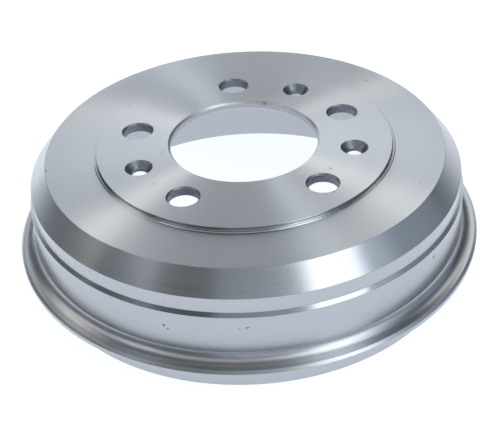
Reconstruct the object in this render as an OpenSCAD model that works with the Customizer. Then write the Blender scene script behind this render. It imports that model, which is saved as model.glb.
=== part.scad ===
// Brake drum: one iron casting, turned all over, that stands on its open end.
// The drum's axis is Z and its wheel face looks up. The origin is the centre of the open end's plane,
// and +X runs through the stud hole that lies between two fixing screws.

/* [Drum] */
// Height from the open end to the wheel face
drum_h = 76.7; // [70:0.1:90]
// Inner diameter of the track that the shoes rub on
track_d = 260; // [250:0.5:275]
// Chamfer that leads the shoes in at the open end
lead_in = 1; // [0.4:0.1:2]
// Depth of the relief between the track and the corner
relief_d = 0.8; // [0.4:0.1:1.5]
// Height of that relief
relief_h = 2; // [1.5:0.1:5]
// Radius of the inner corner between wall and web
corner_r = 12; // [8:0.5:16]
// Small chamfer on the outer edges
edge = 0.4; // [0.2:0.05:0.6]

/* [Outside wall] */
// Thickness of the wall at its upper end, outside the track
wall_t = 8; // [6.5:0.1:10]
// Draft of the outside wall, in degrees
draft = 0.8; // [0:0.1:2.5]
// How far the shoulder ring steps in from the wall
ring_step_w = 1.9; // [0.8:0.1:2.5]
// Height of the bevel between wall and shoulder ring
ring_step_h = 2.3; // [1.5:0.1:4]
// Height of the shoulder ring
ring_h = 9.2; // [5:0.1:12]
// Width of the big chamfer over the shoulder ring
shoulder_w = 10.7; // [7:0.1:14]
// Height of that chamfer
shoulder_h = 12.6; // [9:0.1:15]

/* [Flange] */
// Thickness of the lip under the flange, outside the track
lip_t = 8.7; // [7:0.1:10]
// Height of the lip under the flange
lip_h = 15.8; // [10:0.1:18]
// How far the flange stands out from the lip
flange_w = 10.4; // [9.5:0.1:14]
// Height of the flange's upright rim
rim_h = 3.1; // [2:0.1:6]
// Width of the bevel on the rim
bevel_w = 1.5; // [0.8:0.1:2]
// Height of that bevel
bevel_h = 1.5; // [0.6:0.1:2]
// Radius of the hollow where the wall runs out into the flange
sweep_r = 7.2; // [5.5:0.1:8]
// Height of that hollow over the flange, up to the faint line where it meets the wall
sweep_h = 5; // [3.5:0.1:5.5]
// Radius in the corner under the flange
under_r = 1.5; // [0.8:0.1:3]

/* [Web] */
// Diameter of the raised wheel face
boss_d = 186; // [178:0.5:196]
// Height of the wheel face over the outer face
boss_h = 2.4; // [1.5:0.1:3]
// Width of the land round the foot of the wheel face
land_w = 1.5; // [0.8:0.1:3]
// Height of that land
land_h = 0.35; // [0.2:0.05:0.6]
// Thickness of the web between hub and wheel
seat_t = 5.8; // [5:0.1:8]
// Diameter of the seat for the hub, inside the drum
seat_d = 180; // [166:0.5:192]
// Thickness of the web outside the seat
web_t = 7.2; // [6:0.1:10]

/* [Holes] */
// Diameter of the centre bore
bore_d = 93.4; // [80:0.1:108]
// Chamfer at both ends of the centre bore
bore_chamfer = 1.3; // [0.5:0.1:1.8]
// Pitch circle of the stud holes and the fixing screws
pitch_d = 140; // [132:0.1:150]
// Number of stud holes
stud_count = 5; // [4:1:6]
// Diameter of a stud hole
stud_d = 18.5; // [14:0.1:21]
// Chamfer on a stud hole
stud_chamfer = 1; // [0.4:0.1:1.5]
// Diameter of a fixing screw's hole
screw_d = 9.4; // [7:0.1:11]
// Diameter of its countersink at the wheel face
sink_d = 17.2; // [15:0.1:18]

/* [Hidden] */
$fn = 240;

// Gaps between stud holes that hold a fixing screw, counted from +X
screw_gaps = [0, 2, 4];
// How far a cut runs past the face that it opens
past = 1;

// Radii, from the track outwards
track_r = track_d / 2;
relief_r = track_r + relief_d;
wall_r = track_r + wall_t;
lip_r = track_r + lip_t;
rim_r = lip_r + flange_w;
boss_r = boss_d / 2;
land_r = boss_r + land_w;

// Heights over the open end
face_z = drum_h - boss_h;
shoulder_z = face_z - shoulder_h;
ring_z = shoulder_z - ring_h;
wall_z = ring_z - ring_step_h;
flange_z = lip_h + rim_h + bevel_h;
sweep_z = flange_z + sweep_h;
seat_z = drum_h - seat_t;
web_z = face_z - web_t;
track_z = web_z - corner_r - relief_h;

// Radii that the draft widens on its way down
ring_low_r = wall_r - ring_step_w;
ring_r = ring_low_r - ring_h * tan(draft);
face_r = ring_r - shoulder_w;
wall_low_r = wall_r + (wall_z - sweep_z) * tan(draft);
// Where the hollow ends level with the flange
sweep_end_r = wall_low_r + sqrt(pow(sweep_r, 2) - pow(sweep_r - sweep_h, 2));

// Iron that fills the corner under the flange, hollowed to a quarter round
module under_fill() {
    translate([lip_r, lip_h - under_r])
        difference() {
            square(under_r);
            translate([under_r, 0]) circle(under_r);
        }
}

// Iron over the flange that the wall runs out in. Its hollow is level at the flange.
module sweep_fill() {
    difference() {
        translate([wall_low_r - past, flange_z - past])
            square([sweep_end_r - wall_low_r + past, sweep_h + past]);
        translate([sweep_end_r, flange_z + sweep_r]) circle(sweep_r);
    }
}

// Half section of the drum as if it were filled, from the axis outwards
module outside_section() {
    polygon([
        [0, 0],
        [lip_r - edge, 0],
        [lip_r, edge],
        [lip_r, lip_h],
        [rim_r - edge, lip_h],
        [rim_r, lip_h + edge],
        [rim_r, lip_h + rim_h],
        [rim_r - bevel_w, flange_z],
        [wall_low_r, flange_z],
        [wall_low_r, sweep_z],
        [wall_r, wall_z],
        [ring_low_r, ring_z],
        [ring_r, shoulder_z],
        [face_r, face_z],
        [land_r + land_h, face_z],
        [land_r, face_z + land_h],
        [boss_r, face_z + land_h],
        [boss_r, drum_h - edge],
        [boss_r - edge, drum_h],
        [0, drum_h]
    ]);
    under_fill();
    sweep_fill();
}

// Half section of the space for the shoes, with the relief past the track
module shoe_space_section() {
    translate([0, -past]) square([relief_r, web_z - corner_r + past]);
    translate([0, -past]) square([relief_r - corner_r, web_z + past]);
    translate([relief_r - corner_r, web_z - corner_r]) circle(corner_r);
}

// Half section of the track, which stands in from the relief
module track_section() {
    polygon([
        [track_r + lead_in, 0],
        [relief_r + past, 0],
        [relief_r + past, track_z + relief_d],
        [relief_r, track_z + relief_d],
        [track_r, track_z],
        [track_r, lead_in]
    ]);
}

// Half section of the flat recess that the hub's flange seats in
module hub_seat_section() {
    translate([0, web_z - past]) square([seat_d / 2, seat_z - web_z + past]);
}

// Half section of the centre bore with a chamfer at each end
module bore_section() {
    radius = bore_d / 2;
    translate([0, seat_z - past]) square([radius, seat_t + 2 * past]);
    polygon([
        [0, seat_z - past],
        [radius + bore_chamfer + past, seat_z - past],
        [radius, seat_z + bore_chamfer],
        [0, seat_z + bore_chamfer]
    ]);
    polygon([
        [0, drum_h + past],
        [radius + bore_chamfer + past, drum_h + past],
        [radius, drum_h - bore_chamfer],
        [0, drum_h - bore_chamfer]
    ]);
}

// Turned body, before the holes on the pitch circle are drilled
module turned_body() {
    rotate_extrude() {
        difference() {
            outside_section();
            shoe_space_section();
            hub_seat_section();
            bore_section();
        }
        track_section();
    }
}

// Moves what it holds to the pitch circle at an angle from +X
module on_pitch_circle(angle) {
    rotate(angle) translate([pitch_d / 2, 0, 0]) children();
}

// Cut for one stud hole, chamfered at the wheel face
module stud_hole() {
    translate([0, 0, seat_z - past]) cylinder(d = stud_d, h = seat_t + 2 * past);
    translate([0, 0, drum_h - stud_chamfer])
        cylinder(d1 = stud_d, d2 = stud_d + 2 * (stud_chamfer + past), h = stud_chamfer + past);
}

// Cut for one fixing screw, with a right-angled countersink
module screw_hole() {
    sink_h = (sink_d - screw_d) / 2;
    translate([0, 0, seat_z - past]) cylinder(d = screw_d, h = seat_t + 2 * past);
    translate([0, 0, drum_h - sink_h])
        cylinder(d1 = screw_d, d2 = sink_d + 2 * past, h = sink_h + past);
}

// The whole drum, one solid
module brake_drum() {
    gap = 360 / stud_count;
    color([0.66, 0.68, 0.71])
        difference() {
            turned_body();
            for (i = [0 : stud_count - 1]) on_pitch_circle(i * gap) stud_hole();
            for (g = screw_gaps) on_pitch_circle((g + 0.5) * gap) screw_hole();
        }
}

brake_drum();
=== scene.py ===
import math

import bmesh
import bpy
from mathutils import Matrix, Vector


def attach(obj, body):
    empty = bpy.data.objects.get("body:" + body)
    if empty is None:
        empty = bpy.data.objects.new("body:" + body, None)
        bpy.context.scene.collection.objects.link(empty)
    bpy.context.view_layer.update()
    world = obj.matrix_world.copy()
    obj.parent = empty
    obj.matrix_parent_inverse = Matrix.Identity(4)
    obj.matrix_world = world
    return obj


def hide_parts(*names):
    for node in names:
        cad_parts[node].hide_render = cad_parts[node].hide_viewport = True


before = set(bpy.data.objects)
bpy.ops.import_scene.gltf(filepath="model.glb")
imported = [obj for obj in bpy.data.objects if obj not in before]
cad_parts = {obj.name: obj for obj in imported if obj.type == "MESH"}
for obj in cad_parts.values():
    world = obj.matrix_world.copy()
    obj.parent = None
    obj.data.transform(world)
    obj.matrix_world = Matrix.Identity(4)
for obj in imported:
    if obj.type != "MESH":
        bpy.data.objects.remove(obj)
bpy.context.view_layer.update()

mm = 0.001

# The camera comes first, because every look is seen through it
cameraSetup = {
    "place": (-0.1954, -0.4854, 0.4007),  # metres from the middle of the open end
    "tilt": 53.45,  # degrees from looking straight down
    "turn": -22.04,  # degrees round the drum's axis
    "roll": -3.26,
    "lens": 70.0, "sensor": 36.0,  # millimetres
    "nearest": 0.01, "farthest": 100.0,  # metres
}


def makeCamera(setup):
    data = bpy.data.cameras.new("photoCamera")
    data.lens = setup["lens"]
    data.sensor_width = setup["sensor"]
    data.clip_start, data.clip_end = setup["nearest"], setup["farthest"]
    camera = bpy.data.objects.new("photoCamera", data)
    bpy.context.scene.collection.objects.link(camera)
    turn = Matrix.Rotation(math.radians(setup["turn"]), 4, "Z")
    tilt = Matrix.Rotation(math.radians(setup["tilt"]), 4, "X")
    roll = Matrix.Rotation(math.radians(setup["roll"]), 4, "Z")
    camera.matrix_world = Matrix.Translation(setup["place"]) @ turn @ tilt @ roll
    bpy.context.scene.camera = camera


makeCamera(cameraSetup)
print("camera: in place")


def addNode(tree, kind, settings, values):
    made = tree.nodes.new(kind)
    for name, value in settings.items():
        setattr(made, name, value)
    for name, value in values.items():
        for one in value if isinstance(value, list) else [value]:  # a list fills an input that takes several
            if isinstance(one, bpy.types.NodeSocket):
                tree.links.new(one, made.inputs[name])
            else:
                made.inputs[name].default_value = one
    return made


class Wire:  # a shader socket with arithmetic, so that an expression on wires adds its Math nodes
    def __init__(self, board, socket):
        self.board, self.socket = board, socket

    def maths(self, operation, *others):
        return self.board.maths(operation, self, *others)

    def __add__(self, other):
        return self.maths("ADD", other)

    def __sub__(self, other):
        return self.maths("SUBTRACT", other)

    def __rsub__(self, other):
        return self.board.maths("SUBTRACT", other, self)

    def __mul__(self, other):
        return self.maths("MULTIPLY", other)

    __radd__ = __add__
    __rmul__ = __mul__

    def between(self, low, high):  # smooth step from 0 at low to 1 at high
        values = {"Value": self, "From Min": low, "From Max": high}
        return self.board.node("ShaderNodeMapRange", {"interpolation_type": "SMOOTHSTEP"}, values)


class Board:  # a shader node tree that is filled by calls
    def __init__(self, tree):
        self.tree = tree
        self.tree.nodes.clear()

    def node(self, kind, settings, values, out=0):
        plain = {name: value.socket if isinstance(value, Wire) else value for name, value in values.items()}
        made = addNode(self.tree, kind, settings, plain)
        return Wire(self, made.outputs[out]) if len(made.outputs) else None

    def maths(self, operation, *values):
        return self.node("ShaderNodeMath", {"operation": operation}, dict(enumerate(values)))

    def noise(self, vector, scale, detail, roughness):
        values = {"Vector": vector, "Scale": scale, "Detail": detail, "Roughness": roughness}
        return self.node("ShaderNodeTexNoise", {}, values)

    def vector(self, x, y, z):
        return self.node("ShaderNodeCombineXYZ", {}, {0: x, 1: y, 2: z})

    def parts(self, vector):
        made = self.node("ShaderNodeSeparateXYZ", {}, {"Vector": vector}).socket.node
        return [Wire(self, output) for output in made.outputs]


def newMaterial(name):
    material = bpy.data.materials.new(name)
    material.use_nodes = True
    return material, Board(material.node_tree)


# The tool's marks: how many to a metre round the drum and across the tool's path, noise detail and roughness
toolMarks = {
    "ring": (8.0, 1500.0, 4.0, 0.6),
    "dash": (90.0, 2400.0, 2.0, 0.6),
    "broad": (14.0, 120.0, 2.0, 0.5),
}
castGrain = (900.0, 3.0, 0.65)  # how many to a metre, noise detail and roughness
wear = {
    "ragged": 1.2,  # how far the grain breaks up a mark's edge
    "full": 0.35, "gone": 0.75,  # where a mark begins to fade and where it has gone, as a share of its size
    "darker": 0.75, "rougher": 0.2,
    "deep": 0.12,  # millimetres
}


def wornSpots(board, marks, angle, radius, run, grain):
    # each mark is an oval at an angle round the drum and at a place along its section
    worn = None
    for degrees, along, length, width, lean, strength in marks:
        u = (angle - math.radians(degrees)) * radius
        v = run - along * mm
        c, s = math.cos(math.radians(lean)), math.sin(math.radians(lean))
        far = u * (c / (length * mm)) + v * (s / (length * mm))
        side = v * (c / (width * mm)) - u * (s / (width * mm))
        out = (far * far + side * side).maths("SQRT") + grain * wear["ragged"]
        spot = (1.0 - out.between(wear["full"], wear["gone"])) * strength
        worn = worn.maths("MAXIMUM", spot) if worn else spot
    return worn


def ironFinish(name, look, marks):
    material, board = newMaterial(name)
    place = board.node("ShaderNodeTexCoord", {}, {}, out=3)  # Object coordinates
    x, y, z = board.parts(place)
    radius = (x * x + y * y).maths("SQRT")
    run = radius - z  # grows along the section, from the bore over every outer face to the open end

    def toolNoise(kind):
        wide, across, detail, roughness = toolMarks[kind]
        return board.noise(board.vector(x * wide, y * wide, run * across), 1.0, detail, roughness) - 0.5

    rings, dashes, broad = toolNoise("ring"), toolNoise("dash"), toolNoise("broad")
    grain = board.noise(place, *castGrain) - 0.5
    tone = 1.0 + rings * look["ringTone"] + dashes * look["dashTone"]
    tone = tone + broad * look["broadTone"] + grain * look["grainTone"]
    rough = look["rough"] + broad * look["roughRange"] + rings * (look["roughRange"] / 2)
    height = (rings + dashes) * look["markHeight"] + grain * look["grainHeight"]
    worn = wornSpots(board, marks, y.maths("ARCTAN2", x), radius, run, grain)
    if worn:
        tone = tone * (1.0 - worn * wear["darker"])
        rough = rough + worn * wear["rougher"]
        height = height - worn * (wear["deep"] * mm)
    colour = board.node(
        "ShaderNodeVectorMath", {"operation": "SCALE"},
        {0: board.vector(*look["colour"]), 3: tone},
    )
    normal = board.node("ShaderNodeBump", {}, {"Strength": 1.0, "Distance": 1.0, "Height": height})
    shader = board.node("ShaderNodeBsdfPrincipled", {}, {
        "Base Color": colour, "Metallic": 1.0, "Roughness": rough, "Normal": normal,
        "Anisotropic": look["spread"], "Anisotropic Rotation": 0.25,  # a quarter turn, across the tool's path
    })
    board.node("ShaderNodeOutputMaterial", {}, {"Surface": shader})
    return material


turnedColour, boredColour = (0.452, 0.474, 0.50), (0.50, 0.52, 0.545)
# The hub's colour is lighter than the turned iron's: painted light on the bore's wall and mouth, standing in
# for light that the bore catches
hubColourWithPaintedLight, drilledColour = (0.58, 0.60, 0.63), (0.21, 0.23, 0.262)
# Tone is how much a mark changes the colour, and height is how high it stands, in metres
fineCut = {
    "ringTone": 0.05, "dashTone": 0.06, "broadTone": 0.05, "grainTone": 0.06,
    "markHeight": 1.5e-6, "grainHeight": 1.0e-6,
}
plainCut = {
    "ringTone": 0.07, "dashTone": 0.08, "broadTone": 0.06, "grainTone": 0.10,
    "markHeight": 1.5e-6, "grainHeight": 1.2e-6,
}
hubCut = {
    "ringTone": 0.25, "dashTone": 0.45, "broadTone": 0.25, "grainTone": 0.35,
    "markHeight": 1.5e-6, "grainHeight": 2.0e-6,
}
drillCut = {
    "ringTone": 0.40, "dashTone": 1.30, "broadTone": 0.10, "grainTone": 1.20,
    "markHeight": 2.0e-6, "grainHeight": 3.0e-6,
}
# Spread is how much more the gloss spreads across the tool's path than along it
finishes = {
    "facedIron": {"colour": turnedColour, "rough": 0.33, "roughRange": 0.05, "spread": 1.0, **plainCut},
    "turnedIron": {"colour": turnedColour, "rough": 0.22, "roughRange": 0.04, "spread": 0.9, **fineCut},
    "sweptIron": {"colour": turnedColour, "rough": 0.33, "roughRange": 0.05, "spread": 0.6, **plainCut},
    "boredIron": {"colour": boredColour, "rough": 0.28, "roughRange": 0.05, "spread": 0.8, **fineCut},
    # the bore's finish: its own marks, and a lighter colour that is painted light
    "hubIronWithPaintedLight": {"colour": hubColourWithPaintedLight, "rough": 0.48, "roughRange": 0.10, "spread": 0.3, **hubCut},
    "drilledIron": {"colour": drilledColour, "rough": 0.45, "roughRange": 0.15, "spread": 0.0, **drillCut},
}
# Pores, pits and a scratch: degrees round from +X, millimetres along the section, length, width,
# lean in degrees and strength
castingMarks = {
    "facedIron": [
        (-162.7, -6.1, 0.9, 0.7, 0, 1.0), (-59.4, -12.7, 0.9, 0.9, 0, 0.8), (80.3, -2.6, 1.4, 1.0, 0, 0.9),
        (63.2, 40.7, 2.6, 1.4, 0, 0.25), (124.4, 14.3, 1.8, 1.2, 0, 0.25), (167.2, 50.1, 2.2, 0.9, 0, 0.8),
        (16.9, 37.9, 2.4, 1.3, 0, 0.3), (27.2, -1.1, 2.0, 1.2, 0, 0.25), (-50.6, 41.9, 1.6, 1.2, 0, 0.25),
        (169.8, -24.7, 5.0, 1.2, 55, 0.15), (63.5, -10.8, 0.8, 0.6, 0, 0.8), (-73.6, 4.3, 1.0, 0.8, 0, 0.8),
        (-77.4, 2.6, 0.8, 0.6, 0, 0.7), (152.9, -3.9, 0.9, 0.7, 0, 0.8),
    ],
    "turnedIron": [
        (-132.9, 97.7, 1.5, 1.0, -50, 1.0), (-132.1, 99.8, 1.3, 0.9, 40, 0.6),
        (-113.6, 94.9, 1.6, 0.8, -10, 0.9), (-115.4, 95.5, 1.0, 0.7, 60, 0.4),
        (-62.1, 93.4, 1.2, 1.6, 20, 0.8), (-51.9, 98.8, 1.2, 1.2, 0, 0.35),
        (-147.0, 89.4, 1.0, 0.8, 0, 0.3), (-153.4, 77.1, 1.2, 0.8, 0, 0.35),
        (-132.8, 79.7, 0.9, 0.7, 0, 0.3), (-166.0, 64.0, 10.0, 0.5, 62, 0.35),
        (164.6, 54.6, 1.2, 0.8, 0, 0.7),
    ],
    "hubIronWithPaintedLight": [
        (49.1, -28.6, 1.8, 0.6, 0, 0.5),
    ],
}
ironMaterials = {name: ironFinish(name, look, castingMarks.get(name, ())) for name, look in finishes.items()}
print("materials:", ", ".join(ironMaterials))

drum = {  # millimetres, the same sizes as the part's source
    "height": 76.7, "track": 260.0, "leadIn": 1.0, "reliefDeep": 0.8, "reliefHigh": 2.0, "corner": 12.0,
    "wall": 8.0, "draft": 0.8, "stepWide": 1.9, "stepHigh": 2.3, "ringHigh": 9.2,
    "shoulderWide": 10.7, "shoulderHigh": 12.6,
    "lip": 8.7, "lipHigh": 15.8, "flange": 10.4, "rimHigh": 3.1, "bevelWide": 1.5, "bevelHigh": 1.5,
    "sweep": 7.2, "sweepHigh": 5.0, "under": 1.5,
    "boss": 186.0, "bossHigh": 2.4, "landWide": 1.5, "landHigh": 0.35,
    "seatThick": 5.8, "seat": 180.0, "webThick": 7.2,
    "bore": 93.4, "boreChamfer": 1.3, "pitch": 140.0, "studs": 5, "stud": 18.5, "studChamfer": 1.0,
    "screw": 9.4, "sink": 17.2,
}
edges = {  # millimetres, how round a broken edge is
    "boreFoot": 0.1, "crisp": 0.15, "fine": 0.2, "plain": 0.25, "bossTop": 0.3, "soft": 0.4, "bossFoot": 0.5,
}
meshing = {
    "steps": 360, "holeSteps": 72,  # round the drum and round a hole
    "arcStep": 8.0, "edgeStep": 13.3,  # degrees of an arc's pieces, and of a broken edge's
    "edgeMost": 1.0,  # millimetres, up to which a rounding is a broken edge
    "hug": 0.12,  # millimetres from an arc to the support point on the straight beside it
    "weld": 0.001,  # millimetres, and points closer than that are one
    "sharp": 17.0,  # degrees from which an edge is kept sharp
}


def cornerArc(back, here, ahead, soft):
    toBack, toAhead = (back - here).normalized(), (ahead - here).normalized()
    angle = toBack.angle(toAhead)
    reach = soft / math.tan(angle / 2)
    start, end = here + toBack * reach, here + toAhead * reach
    centre = here + (toBack + toAhead).normalized() * (soft / math.sin(angle / 2))
    sweep = math.pi - angle
    step = meshing["arcStep"] if soft > meshing["edgeMost"] else meshing["edgeStep"]
    pieces = max(3, round(math.degrees(sweep) / step))
    first, last = start - centre, end - centre
    turn = math.copysign(sweep / pieces, first.x * last.y - first.y * last.x)
    arc = [centre + Matrix.Rotation(turn * k, 2) @ first for k in range(pieces + 1)]
    return [p for k, p in enumerate(arc) if k == 0 or (p - arc[k - 1]).length > meshing["weld"]]


def roundedSection(corners):
    # corners: (radius from the axis, height, corner radius); gives the closed line with arcs put in.
    # Each straight gets a point close to both ends, so that its smooth normals stay true up to the arcs.
    spots = [Vector(corner[:2]) for corner in corners]
    arcs = []
    for i, here in enumerate(spots):
        ahead = spots[(i + 1) % len(spots)]
        arcs.append(cornerArc(spots[i - 1], here, ahead, corners[i][2]))
    line = []
    hug = meshing["hug"]
    for arc, following in zip(arcs, arcs[1:] + arcs[:1]):
        gap = following[0] - arc[-1]
        line += arc
        if gap.length > 4 * hug:
            line += [arc[-1] + gap.normalized() * hug, following[0] - gap.normalized() * hug]
        elif gap.length < meshing["weld"]:
            line.pop()
    return line


def drumSection(size, edge):
    trackR = size["track"] / 2
    reliefR = trackR + size["reliefDeep"]
    wallR = trackR + size["wall"]
    lipR = trackR + size["lip"]
    rimR = lipR + size["flange"]
    bossR = size["boss"] / 2
    landR = bossR + size["landWide"]
    boreR = size["bore"] / 2
    boreMouthR = boreR + size["boreChamfer"]
    seatR = size["seat"] / 2
    top = size["height"]
    faceZ = top - size["bossHigh"]
    landZ = faceZ + size["landHigh"]
    shoulderZ = faceZ - size["shoulderHigh"]
    ringZ = shoulderZ - size["ringHigh"]
    wallZ = ringZ - size["stepHigh"]
    lipZ = size["lipHigh"]
    rimZ = lipZ + size["rimHigh"]
    flangeZ = rimZ + size["bevelHigh"]
    seatZ = top - size["seatThick"]
    webZ = faceZ - size["webThick"]
    trackZ = webZ - size["corner"] - size["reliefHigh"]
    slope = math.tan(math.radians(size["draft"]))
    ringLowR = wallR - size["stepWide"]
    ringR = ringLowR - size["ringHigh"] * slope
    faceR = ringR - size["shoulderWide"]
    sweepZ = flangeZ + size["sweepHigh"]
    wallLowR = wallR + (wallZ - sweepZ) * slope
    # how far the hollow's upper end leans out of upright, and where its two tangents meet
    lean = math.asin(1 - size["sweepHigh"] / size["sweep"])
    sweepCornerR = wallLowR + size["sweep"] * (math.cos(lean) - math.tan(math.pi / 4 - lean / 2))
    return roundedSection([
        (boreR, seatZ + size["boreChamfer"], edge["boreFoot"]),
        (boreR, top - size["boreChamfer"], edge["crisp"]), (boreMouthR, top, edge["crisp"]),
        (bossR, top, edge["bossTop"]),
        (bossR, landZ, edge["bossFoot"]), (landR, landZ, edge["fine"]),
        (landR + size["landHigh"], faceZ, edge["crisp"]), (faceR, faceZ, edge["plain"]),
        (ringR, shoulderZ, edge["plain"]), (ringLowR, ringZ, edge["soft"]), (wallR, wallZ, edge["plain"]),
        (wallLowR, sweepZ, 0), (sweepCornerR, flangeZ, size["sweep"]),
        (rimR - size["bevelWide"], flangeZ, edge["plain"]), (rimR, rimZ, edge["plain"]),
        (rimR, lipZ, edge["soft"]), (lipR, lipZ, size["under"]), (lipR, 0, edge["soft"]),
        (trackR + size["leadIn"], 0, edge["fine"]), (trackR, size["leadIn"], edge["fine"]),
        (trackR, trackZ, edge["fine"]), (reliefR, trackZ + size["reliefDeep"], edge["fine"]),
        (reliefR, webZ, size["corner"]), (seatR, webZ, edge["fine"]), (seatR, seatZ, edge["soft"]),
        (boreMouthR, seatZ, edge["crisp"]),
    ])


def sectionObject(line):
    data = bpy.data.meshes.new("drumSection")
    links = [(i, i + 1) for i in range(len(line))]
    points = [(p.x * mm, 0.0, p.y * mm) for p in line + line[:1]]
    data.from_pydata(points, links, [])
    made = bpy.data.objects.new("brakeDrum", data)
    bpy.context.scene.collection.objects.link(made)
    return made


class Patch:  # a Geometry Nodes tree, filled with the same kind of calls as a material
    def __init__(self, name):
        self.tree = bpy.data.node_groups.new(name, "GeometryNodeTree")
        self.tree.interface.new_socket("Geometry", in_out="INPUT", socket_type="NodeSocketGeometry")
        self.tree.interface.new_socket("Geometry", in_out="OUTPUT", socket_type="NodeSocketGeometry")
        self.given = self.tree.nodes.new("NodeGroupInput")
        self.named = {}

    def size(self, name, kind, value):
        socket = self.tree.interface.new_socket(name, in_out="INPUT", socket_type="NodeSocket" + kind)
        self.named[socket.identifier] = value
        return self.given.outputs[name]

    def node(self, kind, settings=None, values=None):
        return addNode(self.tree, kind, settings or {}, values or {}).outputs[0]

    def maths(self, operation, *values):
        return self.node("ShaderNodeMath", {"operation": operation}, dict(enumerate(values)))

    def vector(self, x=0.0, y=0.0, z=0.0):
        return self.node("ShaderNodeCombineXYZ", {}, {0: x, 1: y, 2: z})

    def parts(self, vector):
        return self.node("ShaderNodeSeparateXYZ", {}, {0: vector}).node.outputs

    def compare(self, operation, a, b):
        return self.node("FunctionNodeCompare", {"data_type": "FLOAT", "operation": operation}, {0: a, 1: b})

    def both(self, a, b):
        return self.node("FunctionNodeBooleanMath", {"operation": "AND"}, {0: a, 1: b})

    def moved(self, shape, up=0.0, turn=0.0):
        values = {"Geometry": shape, "Translation": self.vector(z=up), "Rotation": self.vector(z=turn)}
        return self.node("GeometryNodeTransform", {}, values)

    def cut(self, operation, values):
        return self.node("GeometryNodeMeshBoolean", {"operation": operation, "solver": "MANIFOLD"}, values)

    def finish(self, result):
        out = self.tree.nodes.new("NodeGroupOutput")
        self.tree.links.new(result, out.inputs[0])


def drumInputs(p, sizes, mesh):
    top, studR, boreR, trackR = sizes["height"], sizes["stud"] / 2, sizes["bore"] / 2, sizes["track"] / 2
    sweepTop = sizes["lipHigh"] + sizes["rimHigh"] + sizes["bevelHigh"] + sizes["sweepHigh"]
    return {
        "steps": p.size("Steps round", "Int", mesh["steps"]),
        "studs": p.size("Stud holes", "Int", sizes["studs"]),
        "pitch": p.size("Pitch radius", "Float", sizes["pitch"] / 2 * mm),
        "stud": p.size("Stud hole radius", "Float", studR * mm),
        "studMouth": p.size("Stud hole's mouth radius", "Float", (studR + sizes["studChamfer"]) * mm),
        "screw": p.size("Screw hole radius", "Float", sizes["screw"] / 2 * mm),
        "sink": p.size("Countersink radius", "Float", sizes["sink"] / 2 * mm),
        "top": p.size("Wheel face height", "Float", top * mm),
        "face": p.size("Outer face height", "Float", (top - sizes["bossHigh"]) * mm),
        "seat": p.size("Hub seat height", "Float", (top - sizes["seatThick"]) * mm),
        "relief": p.size("Relief radius", "Float", (trackR + sizes["reliefDeep"]) * mm),
        "boreMouth": p.size("Bore's mouth radius", "Float", (boreR + sizes["boreChamfer"]) * mm),
        "lip": p.size("Lip radius", "Float", (trackR + sizes["lip"]) * mm),
        "sweepTop": p.size("Hollow's top", "Float", sweepTop * mm),
        "sharp": p.size("Sharp edge angle", "Float", math.radians(mesh["sharp"])),
    }


def turnedBody(p, size):
    # the section is turned round the axis: a grid's columns become its copies, one a step, and the half
    # below keeps rounding from skipping a column
    section = p.given.outputs["Geometry"]
    points = p.node("GeometryNodeAttributeDomainSize", {"component": "MESH"}, {0: section})
    values = {"Vertices X": p.maths("ADD", size["steps"], 1), "Vertices Y": points}
    grid = p.node("GeometryNodeMeshGrid", {}, values)
    index = p.node("GeometryNodeInputIndex")
    column = p.maths("FLOOR", p.maths("DIVIDE", p.maths("ADD", index, 0.5), points))
    row = p.maths("SUBTRACT", index, p.maths("MULTIPLY", column, points))
    onSection = p.node(
        "GeometryNodeSampleIndex", {"data_type": "FLOAT_VECTOR", "domain": "POINT"},
        {"Geometry": section, "Value": p.node("GeometryNodeInputPosition"), "Index": row},
    )
    out, _, up = p.parts(onSection)
    angle = p.maths("MULTIPLY", p.maths("DIVIDE", column, size["steps"]), 2 * math.pi)
    x, y = (p.maths("MULTIPLY", out, p.maths(kind, angle)) for kind in ("COSINE", "SINE"))
    body = p.node("GeometryNodeSetPosition", {}, {"Geometry": grid, "Position": p.vector(x, y, up)})
    body = p.node("GeometryNodeMergeByDistance", {}, {"Geometry": body, "Distance": meshing["weld"] * mm})
    return p.node("GeometryNodeFlipFaces", {}, {"Mesh": body})


def holeCutter(p, size, holeR, mouthR, steps):
    # a shank through the web and a cone of 90 degrees that opens it at the wheel face
    past = 1.0 * mm
    long = p.maths("ADD", p.maths("SUBTRACT", size["top"], size["seat"]), 4 * past)
    middle = p.maths("MULTIPLY", p.maths("ADD", size["top"], size["seat"]), 0.5)
    deep = p.maths("SUBTRACT", mouthR, holeR)
    shank = p.node("GeometryNodeMeshCylinder", {"fill_type": "NGON"}, {
        "Vertices": steps, "Radius": holeR, "Depth": long,
    })
    mouth = p.node("GeometryNodeMeshCone", {"fill_type": "NGON"}, {
        "Vertices": steps, "Radius Bottom": holeR, "Radius Top": p.maths("ADD", mouthR, past),
        "Depth": p.maths("ADD", deep, past),
    })
    raised = p.moved(mouth, up=p.maths("SUBTRACT", size["top"], deep))
    return p.cut("UNION", {1: [p.moved(shank, up=middle), raised]})


def drilledBody(p, size, body, steps):
    def around(cutter, turn, selection):
        values = {"Vertices": size["studs"], "Radius": size["pitch"]}
        spots = p.moved(p.node("GeometryNodeMeshCircle", {"fill_type": "NONE"}, values), turn=turn)
        values = {"Points": spots, "Instance": cutter, "Selection": selection}
        placed = p.node("GeometryNodeInstanceOnPoints", {}, values)
        return p.node("GeometryNodeRealizeInstances", {}, {0: placed})

    index = p.node("GeometryNodeInputIndex")
    even = p.compare("LESS_THAN", p.maths("MODULO", index, 2), 0.5)  # gaps 0, 2 and 4 hold a screw
    halfGap = p.maths("DIVIDE", math.pi, size["studs"])
    studCuts = around(holeCutter(p, size, size["stud"], size["studMouth"], steps), 0.0, True)
    screwCuts = around(holeCutter(p, size, size["screw"], size["sink"], steps), halfGap, even)
    return p.cut("DIFFERENCE", {0: body, 1: [studCuts, screwCuts]})


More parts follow.
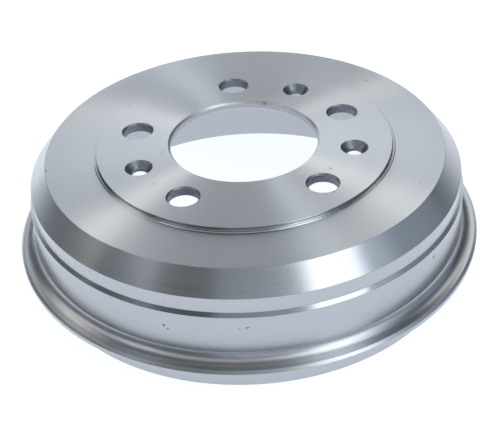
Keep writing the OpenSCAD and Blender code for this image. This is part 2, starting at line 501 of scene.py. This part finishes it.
def smoothBody(p, size, body):
    # smooth faces, with the edges sharper than the angle kept sharp
    values = {"Geometry": body, "Shade Smooth": True}
    smooth = p.node("GeometryNodeSetShadeSmooth", {"domain": "FACE"}, values)
    corner = p.compare("GREATER_THAN", p.node("GeometryNodeInputMeshEdgeAngle"), size["sharp"])
    values = {"Geometry": smooth, "Selection": corner, "Shade Smooth": False}
    return p.node("GeometryNodeSetShadeSmooth", {"domain": "EDGE"}, values)


def finishedBody(p, size, body, irons):
    # which finish each face has, by where it lies and which way it looks
    hair, cornerReach, holeReach = 0.02 * mm, 0.4 * mm, 15.0 * mm
    flat, steep = 0.9, 0.95  # how much a face looks up

    def above(value, limit, more=0.0):
        return p.compare("GREATER_THAN", value, p.maths("ADD", limit, more))

    def below(value, limit, more=0.0):
        return p.compare("LESS_THAN", value, p.maths("ADD", limit, more))

    x, y, high = p.parts(p.node("GeometryNodeInputPosition"))
    facing = p.parts(p.node("GeometryNodeInputNormal"))[2]
    radius = p.maths("SQRT", p.maths("ADD", p.maths("MULTIPLY", x, x), p.maths("MULTIPLY", y, y)))
    fromPitch = p.maths("ABSOLUTE", p.maths("SUBTRACT", radius, size["pitch"]))
    leans = below(facing, steep)
    inHollow = p.both(above(radius, size["lip"]), below(high, size["sweepTop"], -hair))
    onFace = p.both(above(high, size["face"], -hair), above(facing, flat))
    inside = p.both(below(radius, size["relief"], cornerReach), below(high, size["seat"], hair))
    inHole = p.both(below(fromPitch, holeReach), p.both(above(high, size["seat"], hair), leans))
    inBore = p.both(below(radius, size["boreMouth"], -hair), leans)
    result = p.node("GeometryNodeRealizeInstances", {}, {0: body})
    for selection, name in (
        (True, "turnedIron"), (inHollow, "sweptIron"), (onFace, "facedIron"), (inside, "boredIron"),
        # the bore's wall and mouth take the hub's finish, whose lighter colour is painted light
        (inHole, "drilledIron"), (inBore, "hubIronWithPaintedLight"),
    ):
        values = {"Geometry": result, "Selection": selection, "Material": irons[name]}
        result = p.node("GeometryNodeSetMaterial", {}, values)
    return result


def drumPatch(sizes, mesh):
    p = Patch("turnedDrum")
    size = drumInputs(p, sizes, mesh)
    irons = {name: p.size(name, "Material", made) for name, made in ironMaterials.items()}
    body = drilledBody(p, size, turnedBody(p, size), mesh["holeSteps"])
    p.finish(finishedBody(p, size, smoothBody(p, size, body), irons))
    return p


def asMesh(made, patch):
    modifier = made.modifiers.new(patch.tree.name, "NODES")
    modifier.node_group = patch.tree
    for identifier, value in patch.named.items():
        modifier[identifier] = value
    bpy.context.view_layer.update()
    graph = bpy.context.evaluated_depsgraph_get()
    mesh = bpy.data.meshes.new_from_object(made.evaluated_get(graph), depsgraph=graph)
    made.modifiers.remove(modifier)
    made.data = mesh
    return made


def printMesh(name, mesh):
    made = bmesh.new()
    made.from_mesh(mesh)
    triangles = sum(len(face.verts) - 2 for face in made.faces)
    volume = round(made.calc_volume(signed=True) / mm ** 3)
    opened = sum(not edge.is_manifold for edge in made.edges)
    print(name + ":", triangles, "triangles, volume", volume, "mm3, open edges", opened)
    made.free()


brakeDrum = asMesh(sectionObject(drumSection(drum, edges)), drumPatch(drum, meshing))
printMesh("drum", brakeDrum.data)
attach(brakeDrum, "root")
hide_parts("brake_drum")

stage = {
    "floorSize": 40.0, "floorDrop": 0.0003,  # metres
    "floorGlow": (0.86, 0.90, 0.98), "floorGrey": (0.35, 0.35, 0.35),
    "room": (0.05, 0.065, 0.085),  # what the iron mirrors between the softboxes
    "backdrop": (0.86, 0.90, 0.96),
    "away": 4.0, "middle": 0.05,  # metres: how far the softboxes stand, and the height that they look at
}
tints = {"white": (0.96, 0.98, 1.0), "cool": (0.77, 0.88, 1.0), "warm": (1.0, 0.94, 0.86)}
# Degrees round from +X and up, degrees wide and high as seen from the drum, brightness and tint
softboxes = {
    "main": (-68, 42, 24, 42, 2.7, "white"),
    "mainTop": (-38, 66, 23, 14, 3.0, "white"),
    "mainSide": (-46, 40, 18, 34, 0.6, "cool"),
    "lowLeft": (-103, 24, 50, 16, 1.15, "cool"),
    "lowRight": (-29, 24, 50, 18, 0.55, "cool"),
    "lampRight": (32, 45, 6, 12, 0.4, "warm"),
    "right": (36, 45, 31, 10, 1.75, "warm"),
    "backRight": (66, 25, 34, 32, 1.75, "white"),
    "back": (85, 4, 55, 14, 2.3, "white"),
    "backTop": (110, 48, 28, 9, 2.35, "warm"),
    "backLeft": (147, 36, 28, 18, 1.45, "warm"),
    "left": (180, 47, 21, 19, 1.7, "white"),
    "highLeft": (-127, 62, 45, 18, 1.1, "warm"),
}


def makeFloor(setup):
    data = bpy.data.meshes.new("paleFloor")
    half, low = setup["floorSize"] / 2, -setup["floorDrop"]
    corners = [(-half, -half, low), (half, -half, low), (half, half, low), (-half, half, low)]
    data.from_pydata(corners, [], [(0, 1, 2, 3)])
    floor = bpy.data.objects.new("paleFloor", data)
    bpy.context.scene.collection.objects.link(floor)
    material, board = newMaterial("paleFloor")
    glow = board.node("ShaderNodeEmission", {}, {"Color": (*setup["floorGlow"], 1.0), "Strength": 1.0})
    matt = board.node("ShaderNodeBsdfDiffuse", {}, {"Color": (*setup["floorGrey"], 1.0)})
    both = board.node("ShaderNodeAddShader", {}, {0: glow, 1: matt})
    board.node("ShaderNodeOutputMaterial", {}, {"Surface": both})
    data.materials.append(material)


def makeWorld(setup):
    # the room is dim, and what stands behind the drum in a low view is pale
    world = bpy.data.worlds.new("studio")
    world.use_nodes = True
    board = Board(world.node_tree)
    room = board.node("ShaderNodeBackground", {}, {"Color": (*setup["room"], 1.0)})
    backdrop = board.node("ShaderNodeBackground", {}, {"Color": (*setup["backdrop"], 1.0)})
    seen = board.node("ShaderNodeLightPath", {}, {})
    both = board.node("ShaderNodeMixShader", {}, {0: seen, 1: room, 2: backdrop})
    board.node("ShaderNodeOutputWorld", {}, {"Surface": both})
    bpy.context.scene.world = world


def makeSoftbox(name, setup, azimuth, elevation, wide, high, brightness, tint):
    away = setup["away"]
    data = bpy.data.lights.new(name, "AREA")
    data.shape = "RECTANGLE"
    data.size = 2 * away * math.tan(math.radians(wide / 2))
    data.size_y = 2 * away * math.tan(math.radians(high / 2))
    data.energy = math.pi * data.size * data.size_y * brightness
    data.color = tints[tint]
    light = bpy.data.objects.new(name, data)
    bpy.context.scene.collection.objects.link(light)
    a, e = math.radians(azimuth), math.radians(elevation)
    out = Vector((math.cos(a) * math.cos(e), math.sin(a) * math.cos(e), math.sin(e)))
    light.location = out * away + Vector((0, 0, setup["middle"]))
    light.rotation_mode = "QUATERNION"
    light.rotation_quaternion = out.to_track_quat("Z", "Y")
    light.visible_camera = False


makeFloor(stage)
makeWorld(stage)
for boxName, box in softboxes.items():
    makeSoftbox(boxName, stage, *box)
scene = bpy.context.scene
scene.view_settings.view_transform = "Standard"
scene.view_settings.look = "None"
scene.cycles.use_denoising = True
print("studio: floor, world and", len(softboxes), "softboxes")
